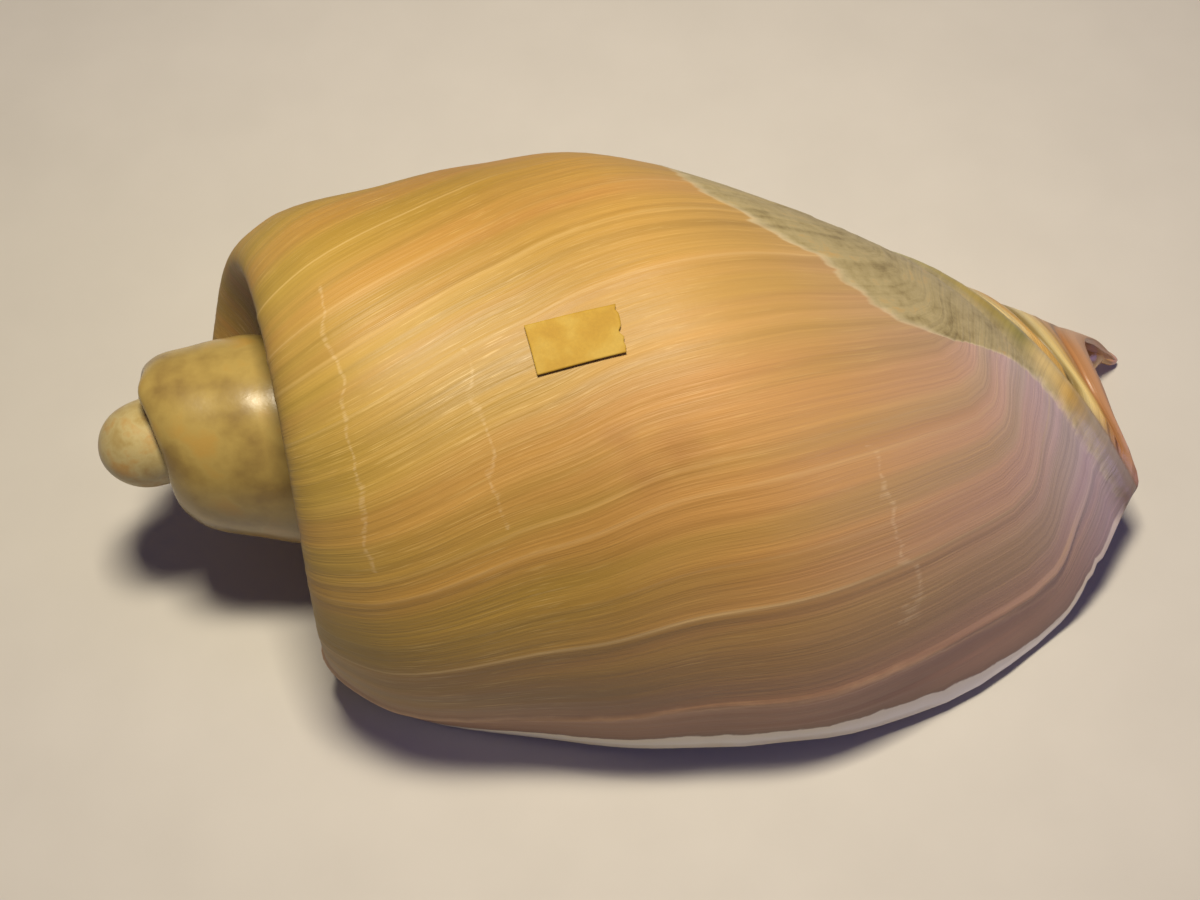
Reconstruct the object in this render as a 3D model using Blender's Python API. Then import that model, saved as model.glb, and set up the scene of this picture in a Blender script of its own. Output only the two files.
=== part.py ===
"""Volute seashell lying on its open side, with a small blank paper label on its back.

The shell grows as a spiral: one section curve is carried round the shell's axis and
enlarged by the same share in every whorl. The section is a table of stations that run
from the suture, over the rim and the belly, to the neck at the front end of the axis.
"""
import math

import bmesh
import bpy
import numpy as np
from mathutils import Matrix, Vector

MM = 0.001

# Section at the lip: station, distance along the axis and from the axis in mm,
# and the angle by which the lip edge runs ahead of its mean line in degrees.
SECTION = (
    (0.00, 26.2, 9.5, 26.0),
    (0.07, 22.6, 16.9, 30.0),
    (0.13, 18.5, 21.7, 32.0),
    (0.22, 23.6, 28.1, 26.0),
    (0.36, 39.3, 32.6, 13.0),
    (0.52, 52.9, 35.4, 3.5),
    (0.68, 70.9, 36.2, -2.0),
    (0.80, 93.9, 28.6, -9.0),
    (0.90, 108.2, 21.8, -37.0),
    (0.94, 120.0, 15.6, -85.0),
    (0.97, 130.0, 10.9, -98.0),
    (1.00, 140.0, 3.9, -106.0),
)
STATIONS = np.array([row[0] for row in SECTION])

WHORL_GAIN = 1.145          # natural logarithm of the enlargement per whorl
LIP_EASING = 0.297          # how far the enlargement slows over the last half whorl
LIP_ANGLE = 101.0           # mean lip line, in degrees from the back down the open side
SUTURE_STATION = 0.66       # station of the earlier whorl that the next whorl sits on
WALL = 1.4                  # wall thickness at the belly, mm
LIP_WALL = 0.7              # wall thickness at the lip edge, mm

CORE_STEP = 7.5             # angle between rows of the solid early whorls, degrees
CORE_START = -1.9           # first row of the early whorls, in whorls from the lip
CORE_END = -0.6             # last row of the early whorls, in whorls from the lip
CORE_SINK = (0.0, 0.35, 1.0, 1.7)   # how far the last rows dip under the thin wall, mm
WALL_LEAD = 4.0             # the thin wall starts this many degrees inside the core
WALL_ROWS = 44

# Blunt first bud of the spire: sizes and place in mm, and the side it leans to in degrees.
BUD_RADIUS = 4.0
BUD_LENGTH = 4.6
BUD_AXIAL = 4.0
BUD_OFFSET = 2.4
BUD_ANGLE = 118.5

# Pillar in the middle of the shell: distance along the axis, radius and sideways shift, mm.
PILLAR = (
    (27.3, 3.3, 0.0),
    (41.0, 4.6, 0.0),
    (54.5, 5.0, 0.2),
    (68.0, 4.7, 0.6),
    (82.0, 3.9, 1.4),
    (95.5, 3.1, 2.0),
    (102.0, 2.6, 2.3),
    (105.3, 1.9, 2.5),
    (107.0, 0.9, 2.6),
)
PILLAR_BEND_ANGLE = -25.0   # side that the pillar's front end bends to, degrees
PILLAR_SIDES = 18
FOLD_PLACES = (54.5, 63.0)  # the two folds, mm along the axis
FOLD_HEIGHT = 1.0
FOLD_WIDTH = 1.8
FOLD_SIDE = 190.0           # angle round the pillar where the folds are highest, degrees
FOLD_SLOPE = 0.05           # mm along the axis per degree round the pillar

REST_PITCH = 12.74          # spire lifted by this angle when the shell lies at rest
REST_ROLL = -0.65           # turn about the axis that puts the lip on the table too
REST_CUT = 0.25             # depth of the worn flat spots under the shell

# Corners of the label: growth angle in degrees and station.
LABEL_CORNERS = ((17.1, 0.416), (14.6, 0.532), (23.0, 0.527), (26.0, 0.413))
LABEL_GAP = 0.3             # mm above the shell, so that the two solids stay apart
LABEL_THICKNESS = 0.3
LABEL_CELLS = (8, 5)


def curve(values, station):
    """Value of one table column at any station, with smooth slopes between rows."""
    slopes = np.gradient(values, STATIONS)
    index = np.clip(np.searchsorted(STATIONS, station, side="right") - 1, 0, len(STATIONS) - 2)
    span = STATIONS[index + 1] - STATIONS[index]
    x = (station - STATIONS[index]) / span
    start = (2 * x**3 - 3 * x**2 + 1) * values[index] + (x**3 - 2 * x**2 + x) * span * slopes[index]
    end = (3 * x**2 - 2 * x**3) * values[index + 1] + (x**3 - x**2) * span * slopes[index + 1]
    return start + end


def column(number):
    return np.array([row[number] for row in SECTION])


def lip_lead(station):
    return curve(column(3), station)


def size_at(angle):
    """Size of the section at a growth angle, with 1 at the mean lip line."""
    whorls = (angle - LIP_ANGLE) / 360.0
    late = np.maximum(whorls + 0.5, 0.0)
    return np.exp(WHORL_GAIN * whorls - LIP_EASING * (late**2 - 0.25))


def polar(axial, radius, angle):
    turn = np.radians(angle)
    return np.stack([axial, -radius * np.sin(turn), radius * np.cos(turn)], -1)


def outside(angle, station):
    """Point of the outer surface in mm."""
    angle, station = np.broadcast_arrays(angle, station)
    size = size_at(angle)
    return polar(curve(column(1), station) * size, curve(column(2), station) * size, angle)


def outward(angle, station):
    """Unit vector that points out of the shell."""
    low = np.clip(station - 0.004, 0.0, 1.0)
    high = np.clip(station + 0.004, 0.0, 1.0)
    along = outside(angle, high) - outside(angle, low)
    around = outside(angle + 0.5, station) - outside(angle - 0.5, station)
    normal = np.cross(around, along)
    return normal / np.linalg.norm(normal, axis=-1, keepdims=True)


def new_object(name, points, faces):
    """Mesh object from points in mm and lists of point numbers."""
    mesh = bpy.data.meshes.new(name)
    mesh.from_pydata([tuple(p * MM) for p in points], [], faces)
    solid = bmesh.new()
    solid.from_mesh(mesh)
    bmesh.ops.recalc_face_normals(solid, faces=solid.faces)
    if solid.calc_volume(signed=True) < 0.0:
        bmesh.ops.reverse_faces(solid, faces=solid.faces)
    solid.to_mesh(mesh)
    solid.free()
    mesh.shade_smooth()
    made = bpy.data.objects.new(name, mesh)
    bpy.context.scene.collection.objects.link(made)
    return made


def grid_faces(rows, columns, start=0):
    faces = []
    for row in range(rows - 1):
        for col in range(columns - 1):
            corner = start + row * columns + col
            faces.append((corner, corner + 1, corner + columns + 1, corner + columns))
    return faces


def thin_solid(name, outer, inner):
    """Closed thin solid between two grids of points with the same rows and columns."""
    rows, columns = outer.shape[:2]
    half = rows * columns
    faces = grid_faces(rows, columns) + grid_faces(rows, columns, half)
    rim = [row * columns for row in range(rows)]
    rim += [(rows - 1) * columns + col for col in range(1, columns)]
    rim += [row * columns + columns - 1 for row in range(rows - 2, -1, -1)]
    rim += list(range(columns - 2, 0, -1))
    for one, two in zip(rim, rim[1:] + rim[:1]):
        faces.append((one, two, two + half, one + half))
    points = list(outer.reshape(-1, 3)) + list(inner.reshape(-1, 3))
    return new_object(name, points, faces)


def core_stations():
    """Stations of the early whorls, with the suture station among them."""
    crest_side = np.linspace(0.0, 0.16, 8)
    belly = np.linspace(0.16, SUTURE_STATION, 8)[1:]
    front = np.linspace(SUTURE_STATION, 1.0, 11)[1:]
    return np.concatenate([crest_side, belly, front]), len(crest_side) + len(belly) - 1


def core_row(angle, dip, stations):
    """One section of the early whorls, dipped towards its own middle away from the suture."""
    size = size_at(angle)
    row = outside(angle, stations)
    inwards = polar(55.0 * size, 18.0 * size, angle) - row
    inwards /= np.linalg.norm(inwards, axis=-1, keepdims=True)
    return row + (dip * np.minimum(stations / 0.12, 1.0))[:, None] * inwards


def core_points(angles, stations, suture, turn):
    """Points of the early whorls and their numbers, with shared points on the suture line."""
    points = []
    number = {}
    count = len(angles)
    for row, angle in enumerate(angles):
        dip = CORE_SINK[max(0, len(CORE_SINK) - count + row)]
        for col, point in enumerate(core_row(angle, dip, stations)):
            if col == 0 and row >= turn:
                number[row, 0] = number[row - turn, suture]
                continue
            if col > suture and row < count - 1 - turn:
                continue
            number[row, col] = len(points)
            points.append(point)
    return points, number


def make_core():
    """Solid early whorls: each whorl starts on the suture line of the whorl before it."""
    stations, suture = core_stations()
    turn = round(360.0 / CORE_STEP)
    count = round((CORE_END - CORE_START) * 360.0 / CORE_STEP) + 1
    angles = LIP_ANGLE + 360.0 * CORE_END - CORE_STEP * np.arange(count - 1, -1, -1)
    points, number = core_points(angles, stations, suture, turn)
    axis_number = {}
    for row in range(count - 1 - turn, count):
        axis_number[row] = len(points)
        points.append(np.array([SECTION[-1][1] * float(size_at(angles[row])), 0.0, 0.0]))
    faces = []
    for row in range(count - 1):
        last = suture if row < count - 1 - turn else len(stations) - 1
        for col in range(last):
            corners = (number[row, col], number[row, col + 1], number[row + 1, col + 1], number[row + 1, col])
            faces.append(corners)
        if row >= count - 1 - turn:
            faces.append((number[row, last], axis_number[row], axis_number[row + 1], number[row + 1, last]))
    faces += core_caps(number, axis_number, points, turn, count, suture, len(stations))
    return new_object("shell", points, faces)


def core_caps(number, axis_number, points, turn, count, suture, columns):
    """Floor under the first bud, and the end wall of the solid whorls."""
    floor = [number[row, 0] for row in range(turn)]
    floor += [number[0, col] for col in range(suture, 0, -1)]
    centre = len(points)
    points.append(np.array([8.7, 0.0, 0.0]))
    fan = [(floor[i], floor[(i + 1) % len(floor)], centre) for i in range(len(floor))]
    last = count - 1
    older = last - turn
    wall = [number[last, col] for col in range(columns)]
    wall += [axis_number[row] for row in range(last, older - 1, -1)]
    wall += [number[older, col] for col in range(columns - 1, suture, -1)]
    return fan + [tuple(wall)]


def make_wall():
    """Thin wall of the body whorl, from inside the early whorls to the lip edge."""
    stations = np.concatenate([np.linspace(0.0, 0.24, 10), np.linspace(0.24, 0.8, 11)[1:],
                               np.linspace(0.8, 1.0, 9)[1:]])
    start = LIP_ANGLE + 360.0 * CORE_END - CORE_STEP * (len(CORE_SINK) - 1) - WALL_LEAD
    share = np.linspace(0.0, 1.0, WALL_ROWS)[:, None]
    angle = start + share * (LIP_ANGLE + lip_lead(stations)[None, :] - start)
    station = np.broadcast_to(stations[None, :], angle.shape)
    normal = outward(angle, station)
    sink = np.where(share == 0.0, 0.35, 0.0)[..., None]
    outer = outside(angle, station) - sink * normal
    size = size_at(angle)
    thin = np.clip((1.0 - share) * 8.0, 0.0, 1.0)
    thickness = (LIP_WALL + (WALL - LIP_WALL) * thin) * (0.4 + 0.6 * np.minimum(size, 1.0))
    inner = outer - thickness[..., None] * normal
    return thin_solid("wall", outer, inner)


def make_bud():
    """Blunt first bud, a round dome that sits to one side of the axis."""
    bpy.ops.mesh.primitive_uv_sphere_add(segments=20, ring_count=12, radius=1.0)
    bud = bpy.context.object
    bud.name = "bud"
    scale = Matrix.Diagonal((BUD_RADIUS * MM, BUD_RADIUS * MM, BUD_LENGTH * MM, 1.0))
    turn = Matrix.Rotation(math.radians(90.0), 4, "Y")
    centre = polar(np.array(BUD_AXIAL), np.array(BUD_OFFSET), np.array(BUD_ANGLE)) * MM
    bud.data.transform(Matrix.Translation(Vector(centre)) @ turn @ scale)
    return bud


def fold_height(axial, around):
    """Height of the two slanting folds on the side of the pillar that faces the opening."""
    away = (around - FOLD_SIDE + 180.0) % 360.0 - 180.0
    share = math.exp(-(away / 75.0)**2)
    height = 0.0
    for place in FOLD_PLACES:
        height += FOLD_HEIGHT * math.exp(-((axial - place - FOLD_SLOPE * away) / FOLD_WIDTH)**2)
    return height * share


def make_pillar():
    """Pillar on the shell's axis, with two folds and a curled front end."""
    table = np.array(PILLAR)
    places = np.concatenate([np.linspace(27.3, 46.0, 6), np.linspace(46.0, 73.0, 19)[1:],
                             np.linspace(73.0, 102.0, 10)[1:], np.array([103.8, 105.3, 106.4, 107.0])])
    bend = math.radians(PILLAR_BEND_ANGLE)
    points = []
    for axial in places:
        radius = np.interp(axial, table[:, 0], table[:, 1])
        shift = np.interp(axial, table[:, 0], table[:, 2])
        for side in range(PILLAR_SIDES):
            around = 360.0 * side / PILLAR_SIDES
            reach = radius + fold_height(axial, around)
            point = polar(np.array(axial), np.array(reach), np.array(around))
            points.append(point + shift * np.array([0.0, -math.sin(bend), math.cos(bend)]))
    faces = []
    for ring in range(len(places) - 1):
        for side in range(PILLAR_SIDES):
            one = ring * PILLAR_SIDES + side
            two = ring * PILLAR_SIDES + (side + 1) % PILLAR_SIDES
            faces.append((one, two, two + PILLAR_SIDES, one + PILLAR_SIDES))
    faces.append(tuple(range(PILLAR_SIDES)))
    last = (len(places) - 1) * PILLAR_SIDES
    faces.append(tuple(range(last, last + PILLAR_SIDES)))
    return new_object("pillar", points, faces)


def make_label():
    """Small paper label that follows the curve of the shell's back."""
    corners = np.array(LABEL_CORNERS)
    x = np.linspace(0.0, 1.0, LABEL_CELLS[0] + 1)[None, :, None]
    y = np.linspace(0.0, 1.0, LABEL_CELLS[1] + 1)[:, None, None]
    upper = (1.0 - x) * corners[0] + x * corners[1]
    lower = (1.0 - x) * corners[3] + x * corners[2]
    place = (1.0 - y) * upper + y * lower
    base = outside(place[..., 0], place[..., 1])
    normal = outward(place[..., 0], place[..., 1])
    return thin_solid("paper_label", base + (LABEL_GAP + LABEL_THICKNESS) * normal, base + LABEL_GAP * normal)


def add_material(part, name, colour, roughness):
    material = bpy.data.materials.new(name)
    material.use_nodes = True
    shader = material.node_tree.nodes["Principled BSDF"]
    shader.inputs["Base Color"].default_value = (*colour, 1.0)
    shader.inputs["Roughness"].default_value = roughness
    shader.inputs["Metallic"].default_value = 0.0
    part.data.materials.clear()
    part.data.materials.append(material)


def combine(target, tool, operation):
    """Join or cut with a helper object, which is kept out of the finished part."""
    tool.hide_render = True
    tool.display_type = "WIRE"
    step = target.modifiers.new(tool.name, "BOOLEAN")
    step.object = tool
    step.operation = operation
    step.solver = "EXACT"
    helpers = bpy.data.collections.get("helpers")
    if helpers is None:
        helpers = bpy.data.collections.new("helpers")
        bpy.context.scene.collection.children.link(helpers)
    for home in list(tool.users_collection):
        home.objects.unlink(tool)
    helpers.objects.link(tool)


def apply_modifiers(part):
    graph = bpy.context.evaluated_depsgraph_get()
    mesh = bpy.data.meshes.new_from_object(part.evaluated_get(graph))
    part.modifiers.clear()
    part.data = mesh


def lay_down(parts):
    """Turn the shell to its rest pose and put the middle of its footprint on the origin."""
    turn = Matrix.Rotation(math.radians(REST_PITCH), 4, "Y")
    turn = turn @ Matrix.Rotation(math.radians(REST_ROLL), 4, "X")
    for part in parts:
        part.data.transform(turn)
    corners = np.array([vertex.co for vertex in parts[0].data.vertices])
    low, high = corners.min(axis=0), corners.max(axis=0)
    shift = Vector((-(low[0] + high[0]) / 2.0, -(low[1] + high[1]) / 2.0, -low[2] - REST_CUT * MM))
    for part in parts:
        part.data.transform(Matrix.Translation(shift))


def make_rest_block():
    """Block under the shell that leaves small flat spots where the shell touches the table."""
    bpy.ops.mesh.primitive_cube_add(size=1.0, location=(0.0, 0.0, -0.01))
    block = bpy.context.object
    block.name = "rest_block"
    block.scale = (0.2, 0.2, 0.02)
    return block


def build():
    for item in list(bpy.data.objects):
        bpy.data.objects.remove(item, do_unlink=True)
    shell = make_core()
    for helper in (make_bud(), make_pillar(), make_wall()):
        combine(shell, helper, "UNION")
    apply_modifiers(shell)
    label = make_label()
    lay_down([shell, label])
    combine(shell, make_rest_block(), "DIFFERENCE")
    add_material(shell, "shell", (0.72, 0.44, 0.19), 0.4)
    add_material(label, "yellow_paper", (0.80, 0.58, 0.16), 0.8)
    shell.data.shade_smooth()


build()
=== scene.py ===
import math

import bmesh
import bpy
import numpy as np
from mathutils import Matrix, Vector


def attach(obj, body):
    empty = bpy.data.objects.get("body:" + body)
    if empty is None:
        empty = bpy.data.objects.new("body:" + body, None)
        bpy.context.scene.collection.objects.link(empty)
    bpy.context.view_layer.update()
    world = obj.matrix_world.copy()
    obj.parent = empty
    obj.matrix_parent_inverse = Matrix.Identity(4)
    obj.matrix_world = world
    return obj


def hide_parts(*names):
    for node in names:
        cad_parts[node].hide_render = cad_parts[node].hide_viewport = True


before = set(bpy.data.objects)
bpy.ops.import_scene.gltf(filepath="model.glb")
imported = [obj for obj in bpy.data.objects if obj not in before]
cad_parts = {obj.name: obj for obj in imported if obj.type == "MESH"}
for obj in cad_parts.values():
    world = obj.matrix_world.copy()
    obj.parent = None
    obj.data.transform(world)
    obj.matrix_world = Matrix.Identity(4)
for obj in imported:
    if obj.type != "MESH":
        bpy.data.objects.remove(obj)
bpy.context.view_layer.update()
mm = 0.001
print("frame loaded")


# the growth rule: one section, carried round the shell's axis and enlarged as it goes
growth = {
    "whorlGain": 1.145,     # natural logarithm of the enlargement per whorl
    "lipEasing": 0.297,     # slower growth over the last half whorl
    "lipAngle": 101.0,      # mean lip line, degrees from the back down the open side
    "wall": 1.4,            # mm at the belly
    "lipWall": 0.7,         # mm at the lip edge
    # station, mm along the axis, mm from the axis
    "section": (
        (0.00, 26.2, 9.5),
        (0.07, 22.6, 16.9),
        (0.13, 18.5, 21.7),
        (0.22, 23.6, 28.1),
        (0.36, 39.3, 32.6),
        (0.52, 52.9, 35.4),
        (0.68, 70.9, 36.2),
        (0.80, 93.9, 28.6),
        (0.90, 108.2, 21.8),
        (0.94, 120.0, 15.6),
        (0.97, 130.0, 10.9),
        (1.00, 140.0, 3.9),
    ),
    # station, degrees by which the lip edge runs ahead of its mean line; it turns at the notch
    "lipLead": (
        (0.00, 26.0), (0.07, 30.0), (0.13, 32.0), (0.22, 26.0), (0.36, 12.5), (0.44, 8.0),
        (0.52, 3.5), (0.68, -2.0), (0.74, -4.5), (0.80, -9.0), (0.83, -17.5), (0.86, -24.0),
        (0.882, -30.5), (0.895, -34.5), (0.904, -37.5), (0.907, -50.0), (0.911, -57.0),
        (0.919, -66.5), (0.926, -74.0), (0.94, -85.0), (0.955, -93.0), (0.97, -98.0), (1.00, -106.0),
    ),
    "sectionEase": 0.010,   # width, in stations, over which the bends of each line are eased
    "leadEase": 0.002,
}

# low relief on the outside, all heights in mm
relief = {
    "ribHeight": 0.06,      # soft ribs, about 3 mm apart
    "lineHeight": 0.03,     # fine growth lines, about 0.7 mm apart
    "unevenHeight": 0.22,   # broad unevenness of a hand-sized shell
    # repeats per degree of growth and per station, detail
    "rib": (0.30, 3.0, 1.5), "line": (1.2, 5.0, 1.0),
    # level of each noise that counts as no height, which keeps the relief inside the CAD part's box
    "ribLevel": 0.62, "lineLevel": 0.62, "unevenLevel": 1.15,
    # single ribs: degrees behind the lip, width in degrees, height
    "ribs": ((-17.0, 1.2, 0.34), (-10.5, 4.2, -0.16), (-37.6, 1.8, 0.14), (-34.0, 1.8, -0.06),
             (-45.4, 1.2, 0.05), (-56.9, 1.3, 0.06), (-61.5, 1.1, 0.04), (-72.0, 2.0, -0.05),
             (-93.9, 1.4, 0.06), (-106.3, 1.3, 0.06), (-116.5, 1.4, 0.07), (-131.0, 1.6, 0.06)),
    # ridges and creases beside the notch: station, width in stations, height
    "folds": ((0.876, 0.0035, -0.14), (0.893, 0.0060, 0.34), (0.9015, 0.0018, -0.34)),
    # folds along the former notch edges, beyond station 0.90: degrees behind the lip, width, height
    "notchFolds": ((-4.2, 3.4, 0.30), (-10.0, 1.5, -0.28), (-20.0, 5.5, 0.20), (-31.5, 1.7, -0.36),
                   (-42.0, 6.0, 0.18), (-56.0, 3.0, -0.18), (-70.0, 7.0, 0.15)),
    "notchFrom": (0.8985, 0.9075),
    # lip bent outwards: station, width, height
    "flare": ((0.740, 0.045, 1.05), (0.620, 0.045, -0.62)),
    "flareFrom": -16.0,
    "youngFrom": -300.0, "youngTo": -246.0,     # the first whorls have no ribs
    # the rim leans out towards the bud where it first shows: degrees behind the lip, width, mm
    "rimShift": ((-486.0, 26.0, -1.05), (-452.0, 14.0, -0.20)),
    "rimShare": (0.15, 0.32),           # stations over which the lean fades out
    "ribShare": (0.78, 0.87),           # stations over which the single ribs get low
    # chips in the lip edge: station, width in stations, degrees that are missing
    "chips": ((0.757, 0.0045, -1.9), (0.640, 0.006, -0.5), (0.700, 0.010, -0.5), (0.828, 0.003, -1.5),
              (0.846, 0.004, -1.2), (0.560, 0.004, -0.35)),
    "chipFrom": -7.0,
    # edge of the grey glaze: degrees round the shell, station
    "glazeEdge": ((-150.0, 0.28), (-110.0, 0.44), (-80.0, 0.60), (-55.0, 0.68), (-33.2, 0.703),
                  (-14.8, 0.693), (-8.4, 0.706), (-0.7, 0.722), (2.1, 0.736), (7.8, 0.744),
                  (13.2, 0.754), (16.6, 0.768), (20.0, 0.790), (23.0, 0.846), (28.5, 0.873),
                  (36.4, 0.879), (60.0, 0.885), (110.0, 0.890)),
    "glazeHeight": 0.14,
    "glazeRagged": 0.036,               # stations by which its edge wanders
    "scar": (54.9, 0.660, 0.22),        # small raised scar: degrees, station, height
    "scarSteepness": (1.2, 110.0),      # per degree, per station
}

# how the shell lies: spire lifted, lip and pillar on the table
lying = {"pitch": 12.74, "roll": -0.65, "shift": (-52.09, 7.13, 22.76)}


def smoothLine(table, column, ease):
    rows = np.array(growth[table])
    station, value = rows[:, 0], rows[:, column]
    slope = np.gradient(value, station)
    if table == "lipLead":
        # no swing past a row of the table at the sharp notch
        secant = np.diff(value) / np.diff(station)
        steep = 2.5 * np.minimum(abs(np.append(secant, secant[-1])), abs(np.append(secant[0], secant)))
        slope = np.clip(slope, -steep, steep)
    fine = np.linspace(0.0, 1.0, 1001)
    index = np.clip(np.searchsorted(station, fine, side="right") - 1, 0, len(station) - 2)
    span = station[index + 1] - station[index]
    x = (fine - station[index]) / span
    line = (2 * x**3 - 3 * x**2 + 1) * value[index] + (x**3 - 2 * x**2 + x) * span * slope[index]
    line += (3 * x**2 - 2 * x**3) * value[index + 1] + (x**3 - x**2) * span * slope[index + 1]
    reach = np.arange(-40, 41)
    weight = np.exp(-0.5 * (reach * 0.001 / growth[ease])**2)
    weight /= weight.sum()
    padded = np.concatenate([2 * line[0] - line[40:0:-1], line, 2 * line[-1] - line[-2:-42:-1]])
    return fine, np.convolve(padded, weight, mode="valid")


stationLine, axialLine = smoothLine("section", 1, "sectionEase")
radiusLine = smoothLine("section", 2, "sectionEase")[1]
leadLine = smoothLine("lipLead", 1, "leadEase")[1]


def sizeAt(angle):
    whorls = (angle - growth["lipAngle"]) / 360.0
    late = np.maximum(whorls + 0.5, 0.0)
    return np.exp(growth["whorlGain"] * whorls - growth["lipEasing"] * (late**2 - 0.25))


def shellPoint(angle, station):
    size = sizeAt(angle)
    axial = np.interp(station, stationLine, axialLine) * size
    radius = np.interp(station, stationLine, radiusLine) * size
    turn = np.radians(angle)
    return np.stack([axial, -radius * np.sin(turn), radius * np.cos(turn)], -1)


def shellNormal(angle, station):
    around = shellPoint(angle + 0.2, station) - shellPoint(angle - 0.2, station)
    along = shellPoint(angle, station + 0.002) - shellPoint(angle, station - 0.002)
    normal = np.cross(around, along)
    return normal / np.linalg.norm(normal, axis=-1, keepdims=True)


def layDown():
    turn = Matrix.Rotation(math.radians(lying["pitch"]), 4, "Y")
    turn = turn @ Matrix.Rotation(math.radians(lying["roll"]), 4, "X")
    return Matrix.Translation(Vector(lying["shift"]) * mm) @ turn @ Matrix.Scale(mm, 4)


def bumps(table, place):
    return sum(height * np.exp(-((place - middle) / width)**2) for middle, width, height in table)


def easeIn(place, low, high):
    x = np.clip((place - low) / (high - low), 0.0, 1.0)
    return x * x * (3.0 - 2.0 * x)


def linear(hexColour):
    parts = [int(hexColour[i:i + 2], 16) / 255.0 for i in (1, 3, 5)]
    return tuple(c / 12.92 if c <= 0.04045 else ((c + 0.055) / 1.055)**2.4 for c in parts) + (1.0,)


# stops fill a colour ramp, points fill a curve
def addNode(tree, kind, inputs=None, out=0, stops=(), points=(), **settings):
    node = tree.nodes.new(kind)
    for name, value in settings.items():
        setattr(node, name, value)
    for key, value in (inputs or {}).items():
        if isinstance(value, bpy.types.NodeSocket):
            tree.links.new(value, node.inputs[key])
        else:
            node.inputs[key].default_value = value
    for index, (place, value) in enumerate(stops):
        elements = node.color_ramp.elements
        element = elements[index] if index < 2 else elements.new(place)
        element.position = place
        element.color = linear(value) if isinstance(value, str) else (value, value, value, 1.0)
    for index, place in enumerate(points):
        line = node.mapping.curves[0].points
        if index < 2:
            line[index].location = place
        else:
            line.new(*place)
    if points:
        node.mapping.update()
    return node if out is None else node.outputs[out]


def newMaterial(name):
    material = bpy.data.materials.new(name)
    material.use_nodes = True
    material.node_tree.nodes.clear()
    return material, material.node_tree


# the last nodes of every finish; the bump's strength, then its depth in metres, then its height
def finishMaterial(tree, colour, roughness, ior, strength, depth, height):
    bump = addNode(tree, "ShaderNodeBump", {"Strength": strength, "Distance": depth, "Height": height})
    shader = addNode(tree, "ShaderNodeBsdfPrincipled", {
        "Base Color": colour, "Roughness": roughness, "IOR": ior, "Normal": bump})
    addNode(tree, "ShaderNodeOutputMaterial", {"Surface": shader}, out=None)


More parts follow.
